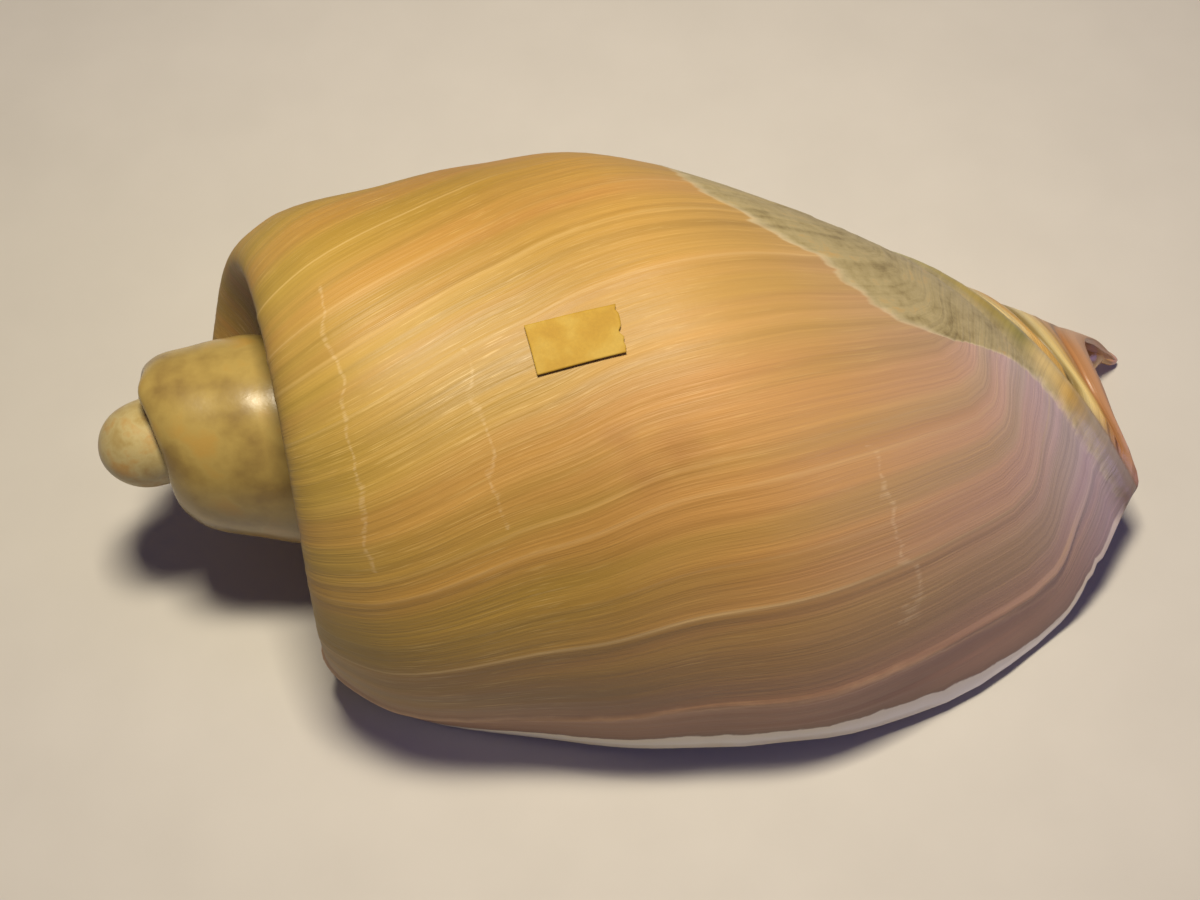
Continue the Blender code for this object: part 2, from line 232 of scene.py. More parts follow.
# the shell's surface; times are degrees of growth behind the lip, angles degrees round the shell
shellLook = {
    "wander": 1.6,      # degrees by which the growth lines wander
    # noises in space: repeats per metre, detail, roughness
    "noises": {"wander": (50.0, 1.0, 0.5), "mottle": (230.0, 4.0, 0.5), "grit": (1900.0, 2.0, 0.5),
               "ragged": (420.0, 3.0, 0.5), "speckle": (900.0, 3.0, 0.7), "patch": (85.0, 2.0, 0.5)},
    # growth lines, from hairlines 0.2 mm wide to bands 8 mm wide: repeats per degree and per station, detail
    "patterns": {"hair": (3.2, 20.0, 2.0), "line": (1.5, 4.0, 3.0),
                 "streak": (0.42, 1.6, 3.0), "band": (0.085, 1.0, 2.0)},
    # what it follows, where it starts and ends, its value at the start and at the end
    "fades": {
        "late": ("lateTime", -46.0, -12.0, 0.0, 0.60),      # mauve-brown before the lip, partly its own colour and partly painted cool shade, weaker towards the front
        "lower": ("station", 0.74, 0.84, 1.0, 0.15),        # weaker towards the front
        "patchy": ("patch", 0.38, 0.62, 0.15, 1.0),         # hairlines come and go,
        "rimward": ("station", 0.14, 0.50, 0.46, 0.16),     # strongest near the rim
        "brokenCrest": ("streak", 0.38, 0.60, 0.12, 0.85),
        "brokenScratch": ("line", 0.42, 0.55, 0.1, 1.0),
        "lipPlace": ("time", -24.0, 0.0, -0.05, 0.95),      # bands along the lip,
        "narrow": ("station", 0.70, 0.80, 0.0, -0.17),      # 4 mm of edge at the belly, 1 mm in front
        "behind": ("station", 0.78, 0.87, 1.0, 0.25),       # and fainter there
        "glazed": ("glaze", -0.002, 0.004, 0.0, 0.92),
        "glazeEdge": ("glaze", -0.02, 0.03, 0.0, 1.0),
        "grownUp": ("time", -280.0, -260.0, 0.0, 1.0),      # no pale glaze edge on the early whorls
        "notchPlace": ("lateTime", -90.0, 0.0, 0.0, 1.0),   # former notch edges,
        "front": ("station", 0.876, 0.889, 0.0, 1.0),       # along the ridge
        "beyond": ("station", 0.8985, 0.9035, 0.0, 1.0),    # and beyond it
        "spire": ("time", -320.0, -262.0, 1.0, 0.0),        # early whorls
        "insideLight": ("streak", 0.3, 0.7, 0.9, 1.06),
        "worn": ("streak", 0.3, 0.7, 0.50, 0.62),           # roughness outside
    },
    # colour ramps: the outside from the rim to the front, then the layers over it; the lilac grey at
    # the front end of the first is partly the shell's colour and partly a painted cool sheen
    "rimToFront": ((0.00, "#6f5721"), (0.09, "#826721"), (0.14, "#988039"), (0.19, "#ad9243"),
                   (0.27, "#aa8936"), (0.45, "#a37f33"), (0.60, "#b28843"), (0.70, "#b38f58"),
                   (0.78, "#ae927a"), (0.88, "#b2aaba")),
    "bands": ((0.36, "#b8943c"), (0.5, "#b38a44"), (0.64, "#b87e46")),      # towards yellow or pink
    # on the lip, the pale stop at 0.285 is a painted highlight on the raised ridge, and the whitish edge stops are
    # partly their own colour and partly painted light that makes them paler
    "lip": ((0.0, "#b48a6c"), (0.22, "#a5785c"), (0.285, "#d6ab80"), (0.32, "#b88c6e"), (0.42, "#a67c62"),
            (0.66, "#94705a"), (0.735, "#7d5f4c"), (0.755, "#efe6cd"), (0.9, "#f5f0e0"), (1.0, "#e2d6b4")),
    "lipShare": ((0.0, 0.0), (0.18, 0.2), (0.285, 0.55), (0.45, 0.5), (0.73, 0.7), (0.755, 0.97)),
    "glaze": ((0.36, "#7d7048"), (0.46, "#9c8f64"), (0.55, "#aa9d72"), (0.66, "#b89a60")),
    "glazeEdge": ((0.34, 0.0), (0.40, 0.7), (0.47, 0.5), (0.60, 0.0)),
    "ridge": ((0.0, "#a49a5c"), (0.30, "#a4904e"), (0.45, "#8c8450"), (0.52, "#c9b27c"), (0.57, "#cfb67a"),
              (0.65, "#c09c54"), (0.74, "#a09078"), (0.88, "#9c8a80"), (1.0, "#7d6456")),
    # beyond the notch, the dark stops at 0.655 and 0.886 are painted shade in the crevices there, and the pale pink
    # stop at 0.955 is a painted highlight on the rolled band by the lip
    "notch": ((0.0, "#c4ae7c"), (0.34, "#c9b27a"), (0.46, "#cdb984"), (0.52, "#c79f58"), (0.62, "#c8a054"),
              (0.655, "#6a5a34"), (0.69, "#a08a50"), (0.73, "#dcc886"), (0.80, "#d2b068"),
              (0.825, "#9c7038"), (0.85, "#bc8c48"), (0.872, "#b48044"), (0.886, "#784c2c"),
              (0.905, "#ac7848"), (0.955, "#be9068"), (1.0, "#ac7a52")),
    "early": ((0.32, "#8c7440"), (0.45, "#a0884a"), (0.55, "#ac9452"), (0.66, "#b0904a")),
    "inside": ((0.0, "#b88a5c"), (0.25, "#d8b184"), (0.6, "#e2c29a"), (0.9, "#d9ab84"), (1.0, "#c98f68")),
    "bandShare": 0.32,
    "dark": 0.54, "light": {"line": 0.14, "streak": 0.46, "band": 0.30},    # brightness, and what each adds
    "glazeTone": {"streak": 0.30, "mottle": 0.35, "speckle": 0.35},
    # pale crests of the single ribs, partly pale growth lines and partly a painted highlight along
    # each raised rib: first and last time, half the width of a line in degrees
    "crestTimes": (-140.0, -30.0), "crestHalf": 0.36,
    # thin pale scratches that cross the growth lines: station, first and last angle, strength
    "scratches": ((0.235, 2.0, 62.0, 0.22), (0.342, 20.0, 52.0, 0.18), (0.707, 40.0, 72.0, 0.22)),
    "scratchBend": 0.048, "scratchHalf": (0.0006, 0.0030),      # stations
    # brown stain on the back: angle, station, spread; its radius in degrees and stations
    "stains": ((43.0, 0.505, 1.0), (39.0, 0.545, 1.25), (37.0, 0.49, 0.8)), "stainRadius": (3.4, 0.022),
    "stainRagged": -2.4, "stainEdge": (-1.2, 0.25), "stainStrength": 0.34, "hairEdge": (0.60, 0.72),
    "roughness": {"glazed": 0.50, "front": 0.34, "spire": 0.27, "inner": 0.2},
}


# Aragonite, the carbonate that the shell is built of, laid down in thin layers and worn by sand.
# It gives a satin surface with a streaky sheen along the growth lines, and a gloss on the early
# whorls and inside. The orange goes over to mauve-grey towards the front and the lip, partly its own
# colour and partly painted cool shade and sheen; the rib crests, the lip ridge and the notch also
# carry painted highlights and painted shade.
def makeWornAragonite():
    look = shellLook
    material, tree = newMaterial("wornAragonite")
    value = {name: addNode(tree, "ShaderNodeAttribute", out="Fac", attribute_name=name)
             for name in ("time", "station", "angle", "glaze", "inner")}
    place = addNode(tree, "ShaderNodeTexCoord", out="Object")
    for name, (scale, detail, fineness) in look["noises"].items():
        value[name] = addNode(tree, "ShaderNodeTexNoise", {
            "Vector": place, "Scale": scale, "Detail": detail, "Roughness": fineness})
    value["lateTime"] = addNode(tree, "ShaderNodeMath", {
        0: value["wander"], 1: look["wander"], 2: value["time"]}, operation="MULTIPLY_ADD")
    along = addNode(tree, "ShaderNodeCombineXYZ", {0: value["lateTime"], 1: value["station"]})
    for name, (across, length, detail) in look["patterns"].items():
        scaled = addNode(tree, "ShaderNodeMapping", {"Vector": along, "Scale": (across, length, 1.0)})
        value[name] = addNode(tree, "ShaderNodeTexNoise", {
            "Vector": scaled, "Scale": 1.0, "Detail": detail, "Roughness": 0.6}, noise_dimensions="2D")
    for name, (source, low, high, first, last) in look["fades"].items():
        value[name] = addNode(tree, "ShaderNodeMapRange", {0: value[source], 1: low, 2: high, 3: first, 4: last})
    tones = []
    for level, shares in ((look["dark"], look["light"]), (0.0, look["glazeTone"])):
        for name, share in shares.items():
            level = addNode(tree, "ShaderNodeMath", {0: value[name], 1: share, 2: level}, operation="MULTIPLY_ADD")
        tones.append(level)
    light, glazeTone = tones

    bands = addNode(tree, "ShaderNodeValToRGB", {0: value["band"]}, stops=look["bands"])
    # mauve-brown layer before the lip, partly the shell's colour and partly painted cool shade
    late = addNode(tree, "ShaderNodeMath", {0: value["late"], 1: value["lower"]}, operation="MULTIPLY")
    # outside colour from the rim to the front; its lilac grey at the front is partly painted cool sheen
    colour = addNode(tree, "ShaderNodeValToRGB", {0: value["station"]}, stops=look["rimToFront"])
    for share, layer in ((look["bandShare"], bands), (late, linear("#927066"))):
        colour = addNode(tree, "ShaderNodeMix", {0: share, 6: colour, 7: layer}, out=2, data_type="RGBA")
    colour = addNode(tree, "ShaderNodeHueSaturation", {"Value": light, "Color": colour})

    # the other layers, from the lowest to the uppermost
    low, high = look["hairEdge"]
    hair = addNode(tree, "ShaderNodeMapRange", {0: value["hair"], 1: low, 2: high, 4: value["patchy"]})
    hair = addNode(tree, "ShaderNodeMath", {0: hair, 1: value["rimward"]}, operation="MULTIPLY")
    layers = [(hair, linear("#e6c880"))]

    # one thin line on the ramp for each raised rib, partly a painted highlight along its crest;
    # the wander's mean is taken off
    (first, last), mean = look["crestTimes"], 0.5 * look["wander"]
    crest = addNode(tree, "ShaderNodeMapRange", {0: value["lateTime"], 1: first + mean, 2: last + mean})
    crests = sorted((middle, min(1.0, 6.0 * height)) for middle, width, height in relief["ribs"]
                    if first < middle < last and height > 0.0)
    crest = addNode(tree, "ShaderNodeValToRGB", {0: crest}, stops=[
        ((middle + side * look["crestHalf"] - first) / (last - first), strength * (1.0 - abs(side)))
        for middle, strength in crests for side in (-1, 0, 1)])
    crest = addNode(tree, "ShaderNodeMath", {0: crest, 1: value["brokenCrest"]}, operation="MULTIPLY")
    layers.append((crest, linear("#e2c890")))

    bend, (low, high) = look["scratchBend"], look["scratchHalf"]
    for line, first, last, strength in look["scratches"]:
        off = addNode(tree, "ShaderNodeMath", {0: value["mottle"], 1: bend, 2: line - 0.5 * bend},
                      operation="MULTIPLY_ADD")
        off = addNode(tree, "ShaderNodeMath", {0: value["station"], 1: off}, operation="SUBTRACT")
        off = addNode(tree, "ShaderNodeMath", {0: off}, operation="ABSOLUTE")
        mark = addNode(tree, "ShaderNodeMapRange", {0: off, 1: low, 2: high, 3: strength, 4: 0.0})
        within = addNode(tree, "ShaderNodeMath", {
            0: value["angle"], 1: (first + last) / 2, 2: (last - first) / 2}, operation="COMPARE")
        for share in (within, value["brokenScratch"]):
            mark = addNode(tree, "ShaderNodeMath", {0: mark, 1: share}, operation="MULTIPLY")
        layers.append((mark, linear("#ead3a8")))
    low, high = look["stainEdge"]
    for middle, line, spread in look["stains"]:
        reach = addNode(tree, "ShaderNodeCombineXYZ", {
            number: addNode(tree, "ShaderNodeMath", {
                0: value[name], 1: 1.0 / (radius * spread), 2: -centre / (radius * spread)}, operation="MULTIPLY_ADD")
            for number, (name, centre, radius) in enumerate(
                zip(("angle", "station"), (middle, line), look["stainRadius"]))})
        away = addNode(tree, "ShaderNodeVectorMath", {0: reach}, out="Value", operation="LENGTH")
        away = addNode(tree, "ShaderNodeMath", {0: value["mottle"], 1: look["stainRagged"], 2: away},
                       operation="MULTIPLY_ADD")
        stain = addNode(tree, "ShaderNodeMapRange", {0: away, 1: low, 2: high, 3: look["stainStrength"], 4: 0.0})
        layers.append((stain, linear("#94602a")))

    # lip: pale ridge, its paleness a painted highlight; brown band; chipped whitish edge, partly its
    # own colour and partly painted light that makes it paler
    lipPlace = addNode(tree, "ShaderNodeMath", {0: value["ragged"], 1: 0.10, 2: value["lipPlace"]},
                       operation="MULTIPLY_ADD")
    lipPlace = addNode(tree, "ShaderNodeMath", {0: lipPlace, 1: value["narrow"]}, operation="ADD")
    lipColour, lipShare = [addNode(tree, "ShaderNodeValToRGB", {0: lipPlace}, stops=look[name])
                           for name in ("lip", "lipShare")]
    lipShare = addNode(tree, "ShaderNodeMath", {0: lipShare, 1: value["behind"]}, operation="MULTIPLY")
    layers.append((lipShare, lipColour))

    # grey glaze with fine streaks and a pale worn edge
    layers.append((value["glazed"], addNode(tree, "ShaderNodeValToRGB", {0: glazeTone}, stops=look["glaze"])))
    edge = addNode(tree, "ShaderNodeValToRGB", {0: value["glazeEdge"]}, stops=look["glazeEdge"])
    for share in ("ragged", "grownUp"):
        edge = addNode(tree, "ShaderNodeMath", {0: edge, 1: value[share]}, operation="MULTIPLY")
    layers.append((edge, linear("#ddd0ac")))

    # stripes along the ridge and beyond the notch, with painted shade in the crevices and a painted highlight on the
    # rolled band by the lip
    ridge, notch = [addNode(tree, "ShaderNodeValToRGB", {0: value["notchPlace"]}, stops=look[name])
                    for name in ("ridge", "notch")]
    stripes = addNode(tree, "ShaderNodeMix", {0: value["beyond"], 6: ridge, 7: notch}, out=2, data_type="RGBA")
    stripes = addNode(tree, "ShaderNodeHueSaturation", {"Value": light, "Color": stripes})
    early = addNode(tree, "ShaderNodeValToRGB", {0: value["mottle"]}, stops=look["early"])
    # cream to flesh-coloured porcelain inside
    inside = addNode(tree, "ShaderNodeValToRGB", {0: value["station"]}, stops=look["inside"])
    inside = addNode(tree, "ShaderNodeHueSaturation", {"Value": value["insideLight"], "Color": inside})
    layers += [(value["front"], stripes), (value["spire"], early), (value["inner"], inside)]
    for share, layer in layers:
        colour = addNode(tree, "ShaderNodeMix", {0: share, 6: colour, 7: layer}, out=2, data_type="RGBA")

    roughness = addNode(tree, "ShaderNodeMix", {0: hair, 2: value["worn"], 3: 0.26}, data_type="FLOAT")
    for name, level in look["roughness"].items():
        roughness = addNode(tree, "ShaderNodeMix", {0: value[name], 2: roughness, 3: level}, data_type="FLOAT")

    # bump: growth lines outside, a little grit, only a faint grain on the early whorls and inside
    height = addNode(tree, "ShaderNodeMath", {0: value["hair"], 1: 0.3, 2: value["line"]}, operation="MULTIPLY_ADD")
    smooth = addNode(tree, "ShaderNodeMath", {0: value["spire"], 1: value["inner"]}, operation="MAXIMUM")
    lined = addNode(tree, "ShaderNodeMapRange", {0: smooth, 3: 1.0, 4: 0.06})
    height = addNode(tree, "ShaderNodeMath", {0: height, 1: lined}, operation="MULTIPLY")
    height = addNode(tree, "ShaderNodeMath", {0: value["grit"], 1: 0.22, 2: height}, operation="MULTIPLY_ADD")
    finishMaterial(tree, colour, roughness, 1.56, 0.42, 0.11 * mm, height)
    return material


# The first bud has lost its skin and is paler, cream to orange, smooth from wear.
def makeWornBud():
    material, tree = newMaterial("wornBud")
    place = addNode(tree, "ShaderNodeTexCoord", out="Object")
    cloud = addNode(tree, "ShaderNodeTexNoise", {
        "Vector": place, "Scale": 300.0, "Detail": 4.0, "Roughness": 0.6})
    grain = addNode(tree, "ShaderNodeTexNoise", {"Vector": place, "Scale": 2300.0, "Detail": 2.0})
    colour = addNode(tree, "ShaderNodeValToRGB", {0: cloud}, stops=(
        (0.33, "#a2844c"), (0.44, "#b09b63"), (0.54, "#bbaa75"), (0.66, "#b79354")))
    roughness = addNode(tree, "ShaderNodeMapRange", {0: cloud, 1: 0.3, 2: 0.7, 3: 0.30, 4: 0.46})
    height = addNode(tree, "ShaderNodeMath", {0: grain, 1: 0.3, 2: cloud}, operation="MULTIPLY_ADD")
    finishMaterial(tree, colour, roughness, 1.56, 0.35, 0.12 * mm, height)
    return material


# The pillar is polished by the animal's foot: glossy, red-brown to flesh with streaks along it.
def makePolishedPillar():
    material, tree = newMaterial("polishedPillar")
    place = addNode(tree, "ShaderNodeTexCoord", out="Object")
    stretched = addNode(tree, "ShaderNodeMapping", {"Vector": place, "Scale": (70.0, 420.0, 420.0)})
    streak = addNode(tree, "ShaderNodeTexNoise", {"Vector": stretched, "Scale": 1.0, "Detail": 3.0})
    cloud = addNode(tree, "ShaderNodeTexNoise", {"Vector": place, "Scale": 260.0, "Detail": 3.0})
    tone = addNode(tree, "ShaderNodeMix", {0: 0.4, 2: streak, 3: cloud}, data_type="FLOAT")
    colour = addNode(tree, "ShaderNodeValToRGB", {0: tone}, stops=(
        (0.34, "#b87838"), (0.44, "#c88f4c"), (0.52, "#d2a05c"), (0.60, "#d8b074"), (0.70, "#d6a66a")))
    # pink over the last 1.5 mm of the tip
    front = addNode(tree, "ShaderNodeSeparateXYZ", {0: place})
    pink = addNode(tree, "ShaderNodeMapRange", {0: front, 1: 51.4 * mm, 2: 52.3 * mm, 3: 0.0, 4: 0.8})
    colour = addNode(tree, "ShaderNodeMix", {0: pink, 6: colour, 7: linear("#c08c84")},
                     out=2, data_type="RGBA")
    roughness = addNode(tree, "ShaderNodeMapRange", {0: cloud, 1: 0.3, 2: 0.7, 3: 0.18, 4: 0.32})
    finishMaterial(tree, colour, roughness, 1.56, 0.3, 0.10 * mm, streak)
    return material


# Matt coloured paper: short fibres about 0.3 mm apart, a little sun-faded and rubbed.
def makeLabelPaper():
    material, tree = newMaterial("labelPaper")
    place = addNode(tree, "ShaderNodeTexCoord", out="Object")
    fibre = addNode(tree, "ShaderNodeTexNoise", {
        "Vector": place, "Scale": 3600.0, "Detail": 4.0, "Roughness": 0.7})
    faded = addNode(tree, "ShaderNodeTexNoise", {"Vector": place, "Scale": 420.0, "Detail": 3.0})
    colour = addNode(tree, "ShaderNodeValToRGB", {0: faded}, stops=(
        (0.35, "#aa8422"), (0.5, "#b08c2a"), (0.65, "#b6963a")))
    light = addNode(tree, "ShaderNodeMapRange", {0: fibre, 1: 0.3, 2: 0.7, 3: 0.93, 4: 1.05})
    colour = addNode(tree, "ShaderNodeHueSaturation", {"Value": light, "Color": colour})
    finishMaterial(tree, colour, 0.72, 1.47, 0.3, 0.04 * mm, fibre)
    return material


# Plain matt card under the shell, with a barely visible tooth.
def makeFloorCard():
    material, tree = newMaterial("floorCard")
    place = addNode(tree, "ShaderNodeTexCoord", out="Object")
    tooth = addNode(tree, "ShaderNodeTexNoise", {"Vector": place, "Scale": 90.0, "Detail": 5.0})
    colour = addNode(tree, "ShaderNodeValToRGB", {0: tooth}, stops=((0.3, "#ccc8bf"), (0.7, "#d0ccc3")))
    shader = addNode(tree, "ShaderNodeBsdfPrincipled", {"Base Color": colour, "Roughness": 0.75})
    addNode(tree, "ShaderNodeOutputMaterial", {"Surface": shader}, out=None)
    return material


wornAragonite = makeWornAragonite()
wornBud = makeWornBud()
polishedPillar = makePolishedPillar()
labelPaper = makeLabelPaper()
print("materials ready")


# guides for the sweep: one line of points over the section, one over the time of growth
def guideMesh(name, positions, fields):
    mesh = bpy.data.meshes.new(name)
    mesh.from_pydata(positions, [], [])
    for field, values in fields.items():
        layer = mesh.attributes.new(field, "FLOAT", "POINT")
        layer.data.foreach_set("value", np.asarray(values, dtype=np.float32))
    guide = bpy.data.objects.new(name, mesh)
    bpy.context.scene.collection.objects.link(guide)
    return guide


# first value, last value, number of steps
rowPlan = ((0.0, 0.24, 26), (0.24, 0.80, 30), (0.80, 0.876, 10), (0.876, 0.932, 30), (0.932, 1.0, 14))
outerPlan = ((-705.0, -300.0, 100), (-300.0, -190.0, 56), (-190.0, -24.0, 380), (-24.0, -1.2, 78), (-1.2, -0.5, 2))
innerPlan = ((-300.0, -24.0, 46), (-24.0, -1.2, 38), (-1.2, -0.5, 2))
edgeSteps = (-0.38, -0.24, -0.12, -0.04, 0.0)


def planLine(plan):
    parts = [np.linspace(low, high, count + 1)[:-1] for low, high, count in plan]
    return np.concatenate(parts + [[plan[-1][1]]])


def makeSectionGuide():
    station = planLine(rowPlan)
    spots = zip(np.interp(station, stationLine, axialLine), np.interp(station, stationLine, radiusLine))
    return guideMesh("sectionGuide", [(float(x), 0.0, float(z)) for x, z in spots], {
        "station": station,
        "lead": np.interp(station, stationLine, leadLine),
        "fold": bumps(relief["folds"], station),
        "flare": bumps(relief["flare"], station),
        "notch": easeIn(station, *relief["notchFrom"]) * (1.0 - 0.75 * easeIn(station, 0.925, 0.955)),
        "rimShare": 1.0 - easeIn(station, *relief["rimShare"]),
        "ribShare": 1.0 - 0.85 * easeIn(station, *relief["ribShare"]),
        "chip": bumps(relief["chips"], station),
        "taper": easeIn(station, 0.0, 0.02) * (1.0 - easeIn(station, 0.98, 1.0)),
    })


def makeGrowthGuide(name, plan):
    time = np.concatenate([planLine(plan), edgeSteps])
    edge = np.clip((time + 0.5) / 0.5, 0.0, 1.0)
    return guideMesh(name, [(float(t) * 0.1, 0.0, 0.0) for t in time], {
        "time": time,
        "rib": bumps(relief["ribs"], time),
        "notchFold": bumps(relief["notchFolds"], time),
        "rimShift": bumps(relief["rimShift"], time),
        "weight": easeIn(time, relief["youngFrom"], relief["youngTo"]) * (1.0 - easeIn(time, -1.8, -0.5)),
        "flareShare": easeIn(time, relief["flareFrom"], 0.0),
        "chipShare": easeIn(time, relief["chipFrom"], 0.0),
        "bevel": 0.5 * growth["lipWall"] * (1.0 - np.sqrt(1.0 - edge**2)),
        "thick": np.interp(time, (-301.0, -300.0, -292.0, -40.0, 0.0),
                           (0.0, 0.0, growth["wall"], growth["wall"], growth["lipWall"])),
    })


# every point is worked out from its row and column of the grid: growth spiral first, then relief
def buildSweepTree():
    tree = bpy.data.node_groups.new("growthSweep", "GeometryNodeTree")
    for name, kind, value in (
            ("Section", "NodeSocketObject", None), ("Growth", "NodeSocketObject", None),
            ("Whorl gain", "NodeSocketFloat", growth["whorlGain"]),
            ("Lip easing", "NodeSocketFloat", growth["lipEasing"]),
            ("Lip angle", "NodeSocketFloat", growth["lipAngle"]),
            ("Inner side", "NodeSocketFloat", 0.0),
            ("Rib height", "NodeSocketFloat", relief["ribHeight"]),
            ("Line height", "NodeSocketFloat", relief["lineHeight"]),
            ("Uneven height", "NodeSocketFloat", relief["unevenHeight"]),
            ("Glaze height", "NodeSocketFloat", relief["glazeHeight"]),
            ("Scar height", "NodeSocketFloat", relief["scar"][2]),
            ("Material", "NodeSocketMaterial", None)):
        socket = tree.interface.new_socket(name=name, in_out="INPUT", socket_type=kind)
        if value is not None:
            socket.default_value = value
    tree.interface.new_socket(name="Geometry", in_out="OUTPUT", socket_type="NodeSocketGeometry")
    given = addNode(tree, "NodeGroupInput", out=None).outputs

    rowShape = addNode(tree, "GeometryNodeObjectInfo", {"Object": given["Section"]}, out="Geometry")
    columnShape = addNode(tree, "GeometryNodeObjectInfo", {"Object": given["Growth"]}, out="Geometry")
    rows = addNode(tree, "GeometryNodeAttributeDomainSize", {"Geometry": rowShape}, out="Point Count")
    columns = addNode(tree, "GeometryNodeAttributeDomainSize", {"Geometry": columnShape}, out="Point Count")
    shape = addNode(tree, "GeometryNodeMeshGrid", {
        "Size X": 1.0, "Size Y": 1.0, "Vertices X": columns, "Vertices Y": rows}, out="Mesh")
    index = addNode(tree, "GeometryNodeInputIndex")
    row = addNode(tree, "ShaderNodeMath", {0: index, 1: rows}, operation="MODULO")
    column = addNode(tree, "ShaderNodeMath", {0: index, 1: rows}, operation="DIVIDE")
    column = addNode(tree, "ShaderNodeMath", {0: column}, operation="FLOOR")
    field = {}
    for source, number, names in (
            (rowShape, row, ("station", "lead", "fold", "notch", "rimShare", "ribShare", "flare", "chip", "taper")),
            (columnShape, column, ("time", "rib", "notchFold", "rimShift", "weight", "flareShare", "chipShare",
                                   "bevel", "thick"))):
        for name in names:
            value = addNode(tree, "GeometryNodeInputNamedAttribute", {"Name": name}, data_type="FLOAT")
            field[name] = addNode(tree, "GeometryNodeSampleIndex", {
                "Geometry": source, "Value": value, "Index": number}, data_type="FLOAT", domain="POINT")
    profile = addNode(tree, "GeometryNodeSampleIndex", {
        "Geometry": rowShape, "Value": addNode(tree, "GeometryNodeInputPosition"), "Index": row},
        data_type="FLOAT_VECTOR", domain="POINT")
    profile = addNode(tree, "ShaderNodeSeparateXYZ", {0: profile}, out=None)

    # growth spiral: size = exp(gain * whorls - easing * (late^2 - 0.25))
    turned = addNode(tree, "ShaderNodeMath", {0: field["chip"], 1: field["chipShare"], 2: field["lead"]},
                     operation="MULTIPLY_ADD")
    turned = addNode(tree, "ShaderNodeMath", {0: turned, 1: field["time"]}, operation="ADD")
    angle = addNode(tree, "ShaderNodeMath", {0: turned, 1: given["Lip angle"]}, operation="ADD")
    whorls = addNode(tree, "ShaderNodeMath", {0: turned, 1: 360.0}, operation="DIVIDE")
    late = addNode(tree, "ShaderNodeMath", {0: whorls, 1: 0.5}, operation="ADD")
    late = addNode(tree, "ShaderNodeMath", {0: late, 1: 0.0}, operation="MAXIMUM")
    late = addNode(tree, "ShaderNodeMath", {0: late, 1: late, 2: -0.25}, operation="MULTIPLY_ADD")
    slowed = addNode(tree, "ShaderNodeMath", {0: late, 1: given["Lip easing"]}, operation="MULTIPLY")
    grown = addNode(tree, "ShaderNodeMath", {0: whorls, 1: given["Whorl gain"]}, operation="MULTIPLY")
    size = addNode(tree, "ShaderNodeMath", {0: grown, 1: slowed}, operation="SUBTRACT")
    size = addNode(tree, "ShaderNodeMath", {0: size}, operation="EXPONENT")
    turn = addNode(tree, "ShaderNodeMath", {0: angle}, operation="RADIANS")
    sine = addNode(tree, "ShaderNodeMath", {0: turn}, operation="SINE")
    cosine = addNode(tree, "ShaderNodeMath", {0: turn}, operation="COSINE")
    radius = addNode(tree, "ShaderNodeMath", {0: profile.outputs[2], 1: size}, operation="MULTIPLY")
    down = addNode(tree, "ShaderNodeMath", {0: radius, 1: -1.0}, operation="MULTIPLY")
    lean = addNode(tree, "ShaderNodeMath", {0: field["rimShare"], 1: field["rimShift"]}, operation="MULTIPLY")
    point = addNode(tree, "ShaderNodeCombineXYZ", {
        0: addNode(tree, "ShaderNodeMath", {0: profile.outputs[0], 1: size, 2: lean}, operation="MULTIPLY_ADD"),
        1: addNode(tree, "ShaderNodeMath", {0: down, 1: sine}, operation="MULTIPLY"),
        2: addNode(tree, "ShaderNodeMath", {0: radius, 1: cosine}, operation="MULTIPLY")})
    for name, value in (("station", field["station"]), ("time", field["time"]), ("angle", angle),
                        ("size", size), ("inner", given["Inner side"])):
        shape = addNode(tree, "GeometryNodeStoreNamedAttribute", {
            "Geometry": shape, "Name": name, "Value": value}, data_type="FLOAT", domain="POINT")
    shape = addNode(tree, "GeometryNodeSetPosition", {"Geometry": shape, "Position": point})
    time, station, angle, size = [
        addNode(tree, "GeometryNodeInputNamedAttribute", {"Name": name}, data_type="FLOAT")
        for name in ("time", "station", "angle", "size")]
    place = addNode(tree, "GeometryNodeInputPosition")

    # edge of the glaze, ragged by about half a millimetre
    first, last = relief["glazeEdge"][0][0], relief["glazeEdge"][-1][0]
    share = addNode(tree, "ShaderNodeMapRange", {0: angle, 1: first, 2: last, 3: 0.0, 4: 1.0})
    border = addNode(tree, "ShaderNodeFloatCurve", {"Value": share},
                     points=[((degrees - first) / (last - first), where) for degrees, where in relief["glazeEdge"]])
    ragged = addNode(tree, "ShaderNodeTexNoise", {"Vector": place, "Scale": 0.42, "Detail": 4.0, "Roughness": 0.65})
    ragged = addNode(tree, "ShaderNodeMath", {0: ragged, 1: relief["glazeRagged"], 2: -0.5 * relief["glazeRagged"]},
                     operation="MULTIPLY_ADD")
    glaze = addNode(tree, "ShaderNodeMath", {0: station, 1: border}, operation="SUBTRACT")
    glaze = addNode(tree, "ShaderNodeMath", {0: glaze, 1: ragged}, operation="ADD")
    lastWhorl = addNode(tree, "ShaderNodeMath", {0: time, 1: 0.01, 2: 2.9}, operation="MULTIPLY_ADD")
    glaze = addNode(tree, "ShaderNodeMath", {0: glaze, 1: lastWhorl}, operation="MINIMUM")
    shape = addNode(tree, "GeometryNodeStoreNamedAttribute", {
        "Geometry": shape, "Name": "glaze", "Value": glaze}, data_type="FLOAT", domain="POINT")
    glazed = addNode(tree, "ShaderNodeMapRange", {0: glaze, 1: -0.002, 2: 0.006, 3: 0.0, 4: given["Glaze height"]},
                     interpolation_type="SMOOTHSTEP")

